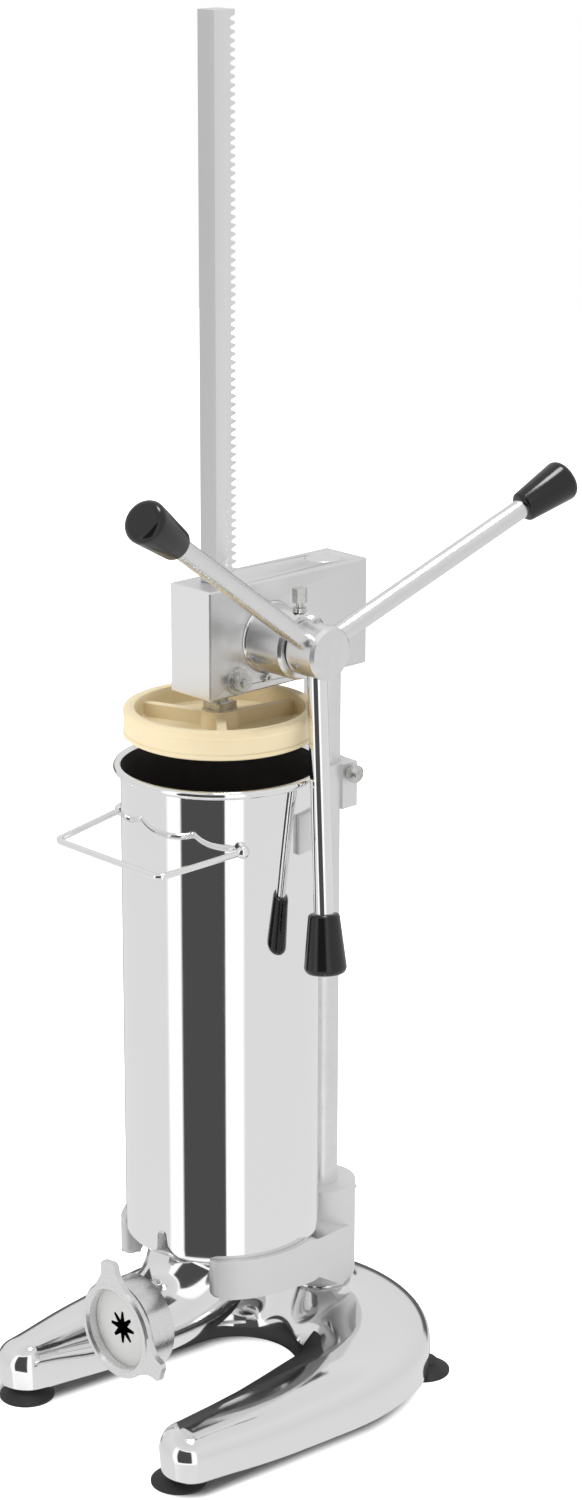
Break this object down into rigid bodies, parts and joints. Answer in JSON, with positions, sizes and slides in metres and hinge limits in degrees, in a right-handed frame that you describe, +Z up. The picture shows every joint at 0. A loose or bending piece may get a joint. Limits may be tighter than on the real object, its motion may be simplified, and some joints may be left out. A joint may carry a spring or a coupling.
{
  "type": "vertical churro press",
  "caption": "Upright rack-and-pinion dough press: a three-spoke crank drives a piston down a steel barrel and dough leaves through a star die in front.",
  "frame": {"origin": "on the bench, under the middle of the machine's bounding box with the rack raised", "axes": "+Z up along the rack, the outlet faces -Y, the crank is on the +X side, the post is at +Y"},
  "size_m": [0.2846, 0.4452, 1.094],
  "materials": {
    "polished_casting": "polished",
    "satin_casting": "satin",
    "satin_block": "brushed",
    "satin_nut": "satin",
    "satin_bar": "brushed",
    "gear_steel": "machined",
    "screw_steel": "satin",
    "mirror_steel": "mirror polished",
    "bright_steel": "bright",
    "bush_bronze": "satin",
    "black_rubber": "matt",
    "black_plastic": "gloss",
    "cream_nylon": "satin",
    "light_nylon": "satin"
  },
  "bodies": {
    "frame": {"base_casting": "polished_casting", "suction_feet": "black_rubber", "foot_screws": "screw_steel", "post": "satin_bar", "post_foot_nut": "screw_steel", "post_collar": "bright_steel", "barrel_cradle": "satin_casting", "cradle_set_screw": "screw_steel", "barrel": "mirror_steel", "outlet_elbow": "polished_casting", "outlet_seal": "black_rubber", "die_plate": "light_nylon", "bail_wire": "bright_steel", "bail_bosses": "bright_steel", "upper_clamp": "satin_casting", "gear_housing": "satin_block", "bearing_boss": "satin_block", "outer_bush": "bush_bronze", "inner_bush": "bush_bronze", "rack_guide_bolt": "screw_steel", "rack_guide_pad": "bush_bronze", "boss_screws": "screw_steel"},
    "rack": {"rack": "satin_bar", "piston": "cream_nylon", "piston_top_nut": "screw_steel", "piston_bottom_nut": "screw_steel"},
    "crank": {"pinion": "gear_steel", "pinion_shaft": "gear_steel", "shaft_ring": "screw_steel", "crank_hub": "satin_bar", "spoke_front": "bright_steel", "spoke_lower": "bright_steel", "spoke_rear": "bright_steel", "grip_front": "black_plastic", "grip_lower": "black_plastic", "grip_rear": "black_plastic", "hub_screws": "screw_steel"},
    "ring_nut": {"ring_nut": "satin_nut"},
    "clamp_screw": {"clamp_screw": "screw_steel"},
    "brake_screw": {"brake_screw": "screw_steel"}
  },
  "joints": [
    {"name": "rack_slide", "type": "slide", "parent": "frame", "child": "rack", "axis": [0, 0, -1], "range_m": [0, 0.405]},
    {"name": "crank_turn", "type": "hinge", "parent": "frame", "child": "crank", "pos_m": [0, -0.01121, 0.6278], "axis": [1, 0, 0], "range_deg": [0, 970]},
    {"name": "ring_nut_turn", "type": "hinge", "parent": "frame", "child": "ring_nut", "pos_m": [0, -0.1424, 0.087], "axis": [0, -1, 0], "range_deg": [0, 360]},
    {"name": "clamp_screw_turn", "type": "hinge", "parent": "frame", "child": "clamp_screw", "pos_m": [0.022, 0.0761, 0.501], "axis": [1, 0, 0], "range_deg": [0, 360]},
    {"name": "brake_screw_turn", "type": "hinge", "parent": "frame", "child": "brake_screw", "pos_m": [0.055, -0.01121, 0.66], "axis": [0, 0, 1], "range_deg": [0, 360]}
  ],
  "couplings": [
    {"joint": "crank_turn", "follows": "rack_slide", "rad_per_m": 41.667}
  ]
}
